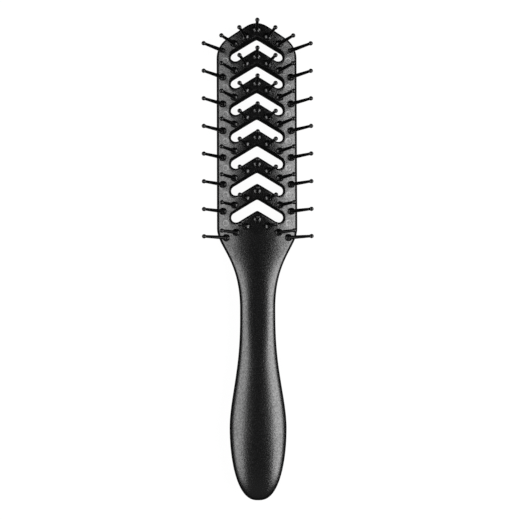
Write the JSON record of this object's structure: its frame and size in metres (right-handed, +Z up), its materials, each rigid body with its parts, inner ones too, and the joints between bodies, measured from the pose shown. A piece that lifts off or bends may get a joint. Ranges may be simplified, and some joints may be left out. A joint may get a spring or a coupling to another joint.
{
  "type": "vent brush",
  "caption": "Hand-held vent brush: a one-piece frame with chevron vents through its head, and rows of flexible ball-tipped pins for brushing and drying hair.",
  "frame": {"origin": "on the surface that the brush rests on, under the middle of its length and width", "axes": "+Y from the handle to the tip of the head, +Z up out of the head on the side of the pins, +X to the right seen from above"},
  "size_m": [0.049, 0.2154, 0.0234],
  "materials": {
    "frame_plastic": "black moulded plastic with a fine satin grain",
    "pin_plastic": "smooth black moulded plastic, slightly glossier than the frame"
  },
  "bodies": {
    "frame": {"vented_frame": "frame_plastic"},
    "pin_row1_col1": {"pin_row1_col1": "pin_plastic"},
    "pin_row1_col2": {"pin_row1_col2": "pin_plastic"},
    "pin_row1_col3": {"pin_row1_col3": "pin_plastic"},
    "pin_row1_col4": {"pin_row1_col4": "pin_plastic"},
    "pin_row1_col5": {"pin_row1_col5": "pin_plastic"},
    "pin_row1_col6": {"pin_row1_col6": "pin_plastic"},
    "pin_row1_col7": {"pin_row1_col7": "pin_plastic"},
    "pin_row2_col1": {"pin_row2_col1": "pin_plastic"},
    "pin_row2_col2": {"pin_row2_col2": "pin_plastic"},
    "pin_row2_col3": {"pin_row2_col3": "pin_plastic"},
    "pin_row2_col4": {"pin_row2_col4": "pin_plastic"},
    "pin_row2_col5": {"pin_row2_col5": "pin_plastic"},
    "pin_row2_col6": {"pin_row2_col6": "pin_plastic"},
    "pin_row2_col7": {"pin_row2_col7": "pin_plastic"},
    "pin_row3_col1": {"pin_row3_col1": "pin_plastic"},
    "pin_row3_col2": {"pin_row3_col2": "pin_plastic"},
    "pin_row3_col3": {"pin_row3_col3": "pin_plastic"},
    "pin_row3_col4": {"pin_row3_col4": "pin_plastic"},
    "pin_row3_col5": {"pin_row3_col5": "pin_plastic"},
    "pin_row3_col6": {"pin_row3_col6": "pin_plastic"},
    "pin_row3_col7": {"pin_row3_col7": "pin_plastic"},
    "pin_row4_col1": {"pin_row4_col1": "pin_plastic"},
    "pin_row4_col2": {"pin_row4_col2": "pin_plastic"},
    "pin_row4_col3": {"pin_row4_col3": "pin_plastic"},
    "pin_row4_col4": {"pin_row4_col4": "pin_plastic"},
    "pin_row4_col5": {"pin_row4_col5": "pin_plastic"},
    "pin_row4_col6": {"pin_row4_col6": "pin_plastic"},
    "pin_row4_col7": {"pin_row4_col7": "pin_plastic"},
    "pin_row5_col1": {"pin_row5_col1": "pin_plastic"},
    "pin_row5_col2": {"pin_row5_col2": "pin_plastic"},
    "pin_row5_col3": {"pin_row5_col3": "pin_plastic"},
    "pin_row5_col4": {"pin_row5_col4": "pin_plastic"},
    "pin_row5_col5": {"pin_row5_col5": "pin_plastic"},
    "pin_row5_col6": {"pin_row5_col6": "pin_plastic"},
    "pin_row5_col7": {"pin_row5_col7": "pin_plastic"},
    "pin_row6_col1": {"pin_row6_col1": "pin_plastic"},
    "pin_row6_col2": {"pin_row6_col2": "pin_plastic"},
    "pin_row6_col3": {"pin_row6_col3": "pin_plastic"},
    "pin_row6_col4": {"pin_row6_col4": "pin_plastic"},
    "pin_row6_col5": {"pin_row6_col5": "pin_plastic"},
    "pin_row6_col6": {"pin_row6_col6": "pin_plastic"},
    "pin_row6_col7": {"pin_row6_col7": "pin_plastic"},
    "pin_row7_col1": {"pin_row7_col1": "pin_plastic"},
    "pin_row7_col2": {"pin_row7_col2": "pin_plastic"},
    "pin_row7_col3": {"pin_row7_col3": "pin_plastic"},
    "pin_row7_col4": {"pin_row7_col4": "pin_plastic"},
    "pin_row7_col5": {"pin_row7_col5": "pin_plastic"},
    "pin_row7_col6": {"pin_row7_col6": "pin_plastic"},
    "pin_row7_col7": {"pin_row7_col7": "pin_plastic"},
    "pin_row8_col1": {"pin_row8_col1": "pin_plastic"},
    "pin_row8_col2": {"pin_row8_col2": "pin_plastic"},
    "pin_row8_col3": {"pin_row8_col3": "pin_plastic"},
    "pin_row8_col4": {"pin_row8_col4": "pin_plastic"},
    "pin_row8_col5": {"pin_row8_col5": "pin_plastic"},
    "pin_row8_col6": {"pin_row8_col6": "pin_plastic"},
    "pin_row8_col7": {"pin_row8_col7": "pin_plastic"}
  },
  "joints": [
    {"name": "flex_row1_col1", "type": "hinge", "parent": "frame", "child": "pin_row1_col1", "pos_m": [-0.01558, 0.09542, 0.00374], "axis": [0, 1, 0], "range_deg": [-15, 15], "stiffness_Nm_per_rad": 0.027},
    {"name": "flex_row1_col2", "type": "hinge", "parent": "frame", "child": "pin_row1_col2", "pos_m": [-0.01039, 0.09816, 0.00538], "axis": [0, 1, 0], "range_deg": [-15, 15], "stiffness_Nm_per_rad": 0.027},
    {"name": "flex_row1_col3", "type": "hinge", "parent": "frame", "child": "pin_row1_col3", "pos_m": [-0.00519, 0.10131, 0.00634], "axis": [0, 1, 0], "range_deg": [-15, 15], "stiffness_Nm_per_rad": 0.027},
    {"name": "flex_row1_col4", "type": "hinge", "parent": "frame", "child": "pin_row1_col4", "pos_m": [0, 0.10445, 0.00665], "axis": [0, 1, 0], "range_deg": [-15, 15], "stiffness_Nm_per_rad": 0.027},
    {"name": "flex_row1_col5", "type": "hinge", "parent": "frame", "child": "pin_row1_col5", "pos_m": [0.00519, 0.10131, 0.00634], "axis": [0, 1, 0], "range_deg": [-15, 15], "stiffness_Nm_per_rad": 0.027},
    {"name": "flex_row1_col6", "type": "hinge", "parent": "frame", "child": "pin_row1_col6", "pos_m": [0.01039, 0.09816, 0.00538], "axis": [0, 1, 0], "range_deg": [-15, 15], "stiffness_Nm_per_rad": 0.027},
    {"name": "flex_row1_col7", "type": "hinge", "parent": "frame", "child": "pin_row1_col7", "pos_m": [0.01558, 0.09542, 0.00374], "axis": [0, 1, 0], "range_deg": [-15, 15], "stiffness_Nm_per_rad": 0.027},
    {"name": "flex_row2_col1", "type": "hinge", "parent": "frame", "child": "pin_row2_col1", "pos_m": [-0.01558, 0.08318, 0.00374], "axis": [0, 1, 0], "range_deg": [-15, 15], "stiffness_Nm_per_rad": 0.027},
    {"name": "flex_row2_col2", "type": "hinge", "parent": "frame", "child": "pin_row2_col2", "pos_m": [-0.01039, 0.08592, 0.00538], "axis": [0, 1, 0], "range_deg": [-15, 15], "stiffness_Nm_per_rad": 0.027},
    {"name": "flex_row2_col3", "type": "hinge", "parent": "frame", "child": "pin_row2_col3", "pos_m": [-0.00519, 0.08907, 0.00634], "axis": [0, 1, 0], "range_deg": [-15, 15], "stiffness_Nm_per_rad": 0.027},
    {"name": "flex_row2_col4", "type": "hinge", "parent": "frame", "child": "pin_row2_col4", "pos_m": [0, 0.09221, 0.00665], "axis": [0, 1, 0], "range_deg": [-15, 15], "stiffness_Nm_per_rad": 0.027},
    {"name": "flex_row2_col5", "type": "hinge", "parent": "frame", "child": "pin_row2_col5", "pos_m": [0.00519, 0.08907, 0.00634], "axis": [0, 1, 0], "range_deg": [-15, 15], "stiffness_Nm_per_rad": 0.027},
    {"name": "flex_row2_col6", "type": "hinge", "parent": "frame", "child": "pin_row2_col6", "pos_m": [0.01039, 0.08592, 0.00538], "axis": [0, 1, 0], "range_deg": [-15, 15], "stiffness_Nm_per_rad": 0.027},
    {"name": "flex_row2_col7", "type": "hinge", "parent": "frame", "child": "pin_row2_col7", "pos_m": [0.01558, 0.08318, 0.00374], "axis": [0, 1, 0], "range_deg": [-15, 15], "stiffness_Nm_per_rad": 0.027},
    {"name": "flex_row3_col1", "type": "hinge", "parent": "frame", "child": "pin_row3_col1", "pos_m": [-0.01558, 0.07094, 0.00374], "axis": [0, 1, 0], "range_deg": [-15, 15], "stiffness_Nm_per_rad": 0.027},
    {"name": "flex_row3_col2", "type": "hinge", "parent": "frame", "child": "pin_row3_col2", "pos_m": [-0.01039, 0.07368, 0.00538], "axis": [0, 1, 0], "range_deg": [-15, 15], "stiffness_Nm_per_rad": 0.027},
    {"name": "flex_row3_col3", "type": "hinge", "parent": "frame", "child": "pin_row3_col3", "pos_m": [-0.00519, 0.07683, 0.00634], "axis": [0, 1, 0], "range_deg": [-15, 15], "stiffness_Nm_per_rad": 0.027},
    {"name": "flex_row3_col4", "type": "hinge", "parent": "frame", "child": "pin_row3_col4", "pos_m": [0, 0.07997, 0.00665], "axis": [0, 1, 0], "range_deg": [-15, 15], "stiffness_Nm_per_rad": 0.027},
    {"name": "flex_row3_col5", "type": "hinge", "parent": "frame", "child": "pin_row3_col5", "pos_m": [0.00519, 0.07683, 0.00634], "axis": [0, 1, 0], "range_deg": [-15, 15], "stiffness_Nm_per_rad": 0.027},
    {"name": "flex_row3_col6", "type": "hinge", "parent": "frame", "child": "pin_row3_col6", "pos_m": [0.01039, 0.07368, 0.00538], "axis": [0, 1, 0], "range_deg": [-15, 15], "stiffness_Nm_per_rad": 0.027},
    {"name": "flex_row3_col7", "type": "hinge", "parent": "frame", "child": "pin_row3_col7", "pos_m": [0.01558, 0.07094, 0.00374], "axis": [0, 1, 0], "range_deg": [-15, 15], "stiffness_Nm_per_rad": 0.027},
    {"name": "flex_row4_col1", "type": "hinge", "parent": "frame", "child": "pin_row4_col1", "pos_m": [-0.01558, 0.0587, 0.00374], "axis": [0, 1, 0], "range_deg": [-15, 15], "stiffness_Nm_per_rad": 0.027},
    {"name": "flex_row4_col2", "type": "hinge", "parent": "frame", "child": "pin_row4_col2", "pos_m": [-0.01039, 0.06144, 0.00538], "axis": [0, 1, 0], "range_deg": [-15, 15], "stiffness_Nm_per_rad": 0.027},
    {"name": "flex_row4_col3", "type": "hinge", "parent": "frame", "child": "pin_row4_col3", "pos_m": [-0.00519, 0.06459, 0.00634], "axis": [0, 1, 0], "range_deg": [-15, 15], "stiffness_Nm_per_rad": 0.027},
    {"name": "flex_row4_col4", "type": "hinge", "parent": "frame", "child": "pin_row4_col4", "pos_m": [0, 0.06773, 0.00665], "axis": [0, 1, 0], "range_deg": [-15, 15], "stiffness_Nm_per_rad": 0.027},
    {"name": "flex_row4_col5", "type": "hinge", "parent": "frame", "child": "pin_row4_col5", "pos_m": [0.00519, 0.06459, 0.00634], "axis": [0, 1, 0], "range_deg": [-15, 15], "stiffness_Nm_per_rad": 0.027},
    {"name": "flex_row4_col6", "type": "hinge", "parent": "frame", "child": "pin_row4_col6", "pos_m": [0.01039, 0.06144, 0.00538], "axis": [0, 1, 0], "range_deg": [-15, 15], "stiffness_Nm_per_rad": 0.027},
    {"name": "flex_row4_col7", "type": "hinge", "parent": "frame", "child": "pin_row4_col7", "pos_m": [0.01558, 0.0587, 0.00374], "axis": [0, 1, 0], "range_deg": [-15, 15], "stiffness_Nm_per_rad": 0.027},
    {"name": "flex_row5_col1", "type": "hinge", "parent": "frame", "child": "pin_row5_col1", "pos_m": [-0.01558, 0.04646, 0.00374], "axis": [0, 1, 0], "range_deg": [-15, 15], "stiffness_Nm_per_rad": 0.027},
    {"name": "flex_row5_col2", "type": "hinge", "parent": "frame", "child": "pin_row5_col2", "pos_m": [-0.01039, 0.0492, 0.00538], "axis": [0, 1, 0], "range_deg": [-15, 15], "stiffness_Nm_per_rad": 0.027},
    {"name": "flex_row5_col3", "type": "hinge", "parent": "frame", "child": "pin_row5_col3", "pos_m": [-0.00519, 0.05235, 0.00634], "axis": [0, 1, 0], "range_deg": [-15, 15], "stiffness_Nm_per_rad": 0.027},
    {"name": "flex_row5_col4", "type": "hinge", "parent": "frame", "child": "pin_row5_col4", "pos_m": [0, 0.05549, 0.00665], "axis": [0, 1, 0], "range_deg": [-15, 15], "stiffness_Nm_per_rad": 0.027},
    {"name": "flex_row5_col5", "type": "hinge", "parent": "frame", "child": "pin_row5_col5", "pos_m": [0.00519, 0.05235, 0.00634], "axis": [0, 1, 0], "range_deg": [-15, 15], "stiffness_Nm_per_rad": 0.027},
    {"name": "flex_row5_col6", "type": "hinge", "parent": "frame", "child": "pin_row5_col6", "pos_m": [0.01039, 0.0492, 0.00538], "axis": [0, 1, 0], "range_deg": [-15, 15], "stiffness_Nm_per_rad": 0.027},
    {"name": "flex_row5_col7", "type": "hinge", "parent": "frame", "child": "pin_row5_col7", "pos_m": [0.01558, 0.04646, 0.00374], "axis": [0, 1, 0], "range_deg": [-15, 15], "stiffness_Nm_per_rad": 0.027},
    {"name": "flex_row6_col1", "type": "hinge", "parent": "frame", "child": "pin_row6_col1", "pos_m": [-0.01558, 0.03422, 0.00374], "axis": [0, 1, 0], "range_deg": [-15, 15], "stiffness_Nm_per_rad": 0.027},
    {"name": "flex_row6_col2", "type": "hinge", "parent": "frame", "child": "pin_row6_col2", "pos_m": [-0.01039, 0.03696, 0.00538], "axis": [0, 1, 0], "range_deg": [-15, 15], "stiffness_Nm_per_rad": 0.027},
    {"name": "flex_row6_col3", "type": "hinge", "parent": "frame", "child": "pin_row6_col3", "pos_m": [-0.00519, 0.04011, 0.00634], "axis": [0, 1, 0], "range_deg": [-15, 15], "stiffness_Nm_per_rad": 0.027},
    {"name": "flex_row6_col4", "type": "hinge", "parent": "frame", "child": "pin_row6_col4", "pos_m": [0, 0.04325, 0.00665], "axis": [0, 1, 0], "range_deg": [-15, 15], "stiffness_Nm_per_rad": 0.027},
    {"name": "flex_row6_col5", "type": "hinge", "parent": "frame", "child": "pin_row6_col5", "pos_m": [0.00519, 0.04011, 0.00634], "axis": [0, 1, 0], "range_deg": [-15, 15], "stiffness_Nm_per_rad": 0.027},
    {"name": "flex_row6_col6", "type": "hinge", "parent": "frame", "child": "pin_row6_col6", "pos_m": [0.01039, 0.03696, 0.00538], "axis": [0, 1, 0], "range_deg": [-15, 15], "stiffness_Nm_per_rad": 0.027},
    {"name": "flex_row6_col7", "type": "hinge", "parent": "frame", "child": "pin_row6_col7", "pos_m": [0.01558, 0.03422, 0.00374], "axis": [0, 1, 0], "range_deg": [-15, 15], "stiffness_Nm_per_rad": 0.027},
    {"name": "flex_row7_col1", "type": "hinge", "parent": "frame", "child": "pin_row7_col1", "pos_m": [-0.01558, 0.02198, 0.00374], "axis": [0, 1, 0], "range_deg": [-15, 15], "stiffness_Nm_per_rad": 0.027},
    {"name": "flex_row7_col2", "type": "hinge", "parent": "frame", "child": "pin_row7_col2", "pos_m": [-0.01039, 0.02472, 0.00538], "axis": [0, 1, 0], "range_deg": [-15, 15], "stiffness_Nm_per_rad": 0.027},
    {"name": "flex_row7_col3", "type": "hinge", "parent": "frame", "child": "pin_row7_col3", "pos_m": [-0.00519, 0.02787, 0.00634], "axis": [0, 1, 0], "range_deg": [-15, 15], "stiffness_Nm_per_rad": 0.027},
    {"name": "flex_row7_col4", "type": "hinge", "parent": "frame", "child": "pin_row7_col4", "pos_m": [0, 0.03101, 0.00665], "axis": [0, 1, 0], "range_deg": [-15, 15], "stiffness_Nm_per_rad": 0.027},
    {"name": "flex_row7_col5", "type": "hinge", "parent": "frame", "child": "pin_row7_col5", "pos_m": [0.00519, 0.02787, 0.00634], "axis": [0, 1, 0], "range_deg": [-15, 15], "stiffness_Nm_per_rad": 0.027},
    {"name": "flex_row7_col6", "type": "hinge", "parent": "frame", "child": "pin_row7_col6", "pos_m": [0.01039, 0.02472, 0.00538], "axis": [0, 1, 0], "range_deg": [-15, 15], "stiffness_Nm_per_rad": 0.027},
    {"name": "flex_row7_col7", "type": "hinge", "parent": "frame", "child": "pin_row7_col7", "pos_m": [0.01558, 0.02198, 0.00374], "axis": [0, 1, 0], "range_deg": [-15, 15], "stiffness_Nm_per_rad": 0.027},
    {"name": "flex_row8_col1", "type": "hinge", "parent": "frame", "child": "pin_row8_col1", "pos_m": [-0.0142, 0.00999, 0.00423], "axis": [0, 1, 0], "range_deg": [-15, 15], "stiffness_Nm_per_rad": 0.027},
    {"name": "flex_row8_col2", "type": "hinge", "parent": "frame", "child": "pin_row8_col2", "pos_m": [-0.0097, 0.01231, 0.00554], "axis": [0, 1, 0], "range_deg": [-15, 15], "stiffness_Nm_per_rad": 0.027},
    {"name": "flex_row8_col3", "type": "hinge", "parent": "frame", "child": "pin_row8_col3", "pos_m": [-0.00519, 0.01503, 0.00634], "axis": [0, 1, 0], "range_deg": [-15, 15], "stiffness_Nm_per_rad": 0.027},
    {"name": "flex_row8_col4", "type": "hinge", "parent": "frame", "child": "pin_row8_col4", "pos_m": [0, 0.01817, 0.00665], "axis": [0, 1, 0], "range_deg": [-15, 15], "stiffness_Nm_per_rad": 0.027},
    {"name": "flex_row8_col5", "type": "hinge", "parent": "frame", "child": "pin_row8_col5", "pos_m": [0.00519, 0.01503, 0.00634], "axis": [0, 1, 0], "range_deg": [-15, 15], "stiffness_Nm_per_rad": 0.027},
    {"name": "flex_row8_col6", "type": "hinge", "parent": "frame", "child": "pin_row8_col6", "pos_m": [0.0097, 0.01231, 0.00554], "axis": [0, 1, 0], "range_deg": [-15, 15], "stiffness_Nm_per_rad": 0.027},
    {"name": "flex_row8_col7", "type": "hinge", "parent": "frame", "child": "pin_row8_col7", "pos_m": [0.0142, 0.00999, 0.00423], "axis": [0, 1, 0], "range_deg": [-15, 15], "stiffness_Nm_per_rad": 0.027}
  ]
}
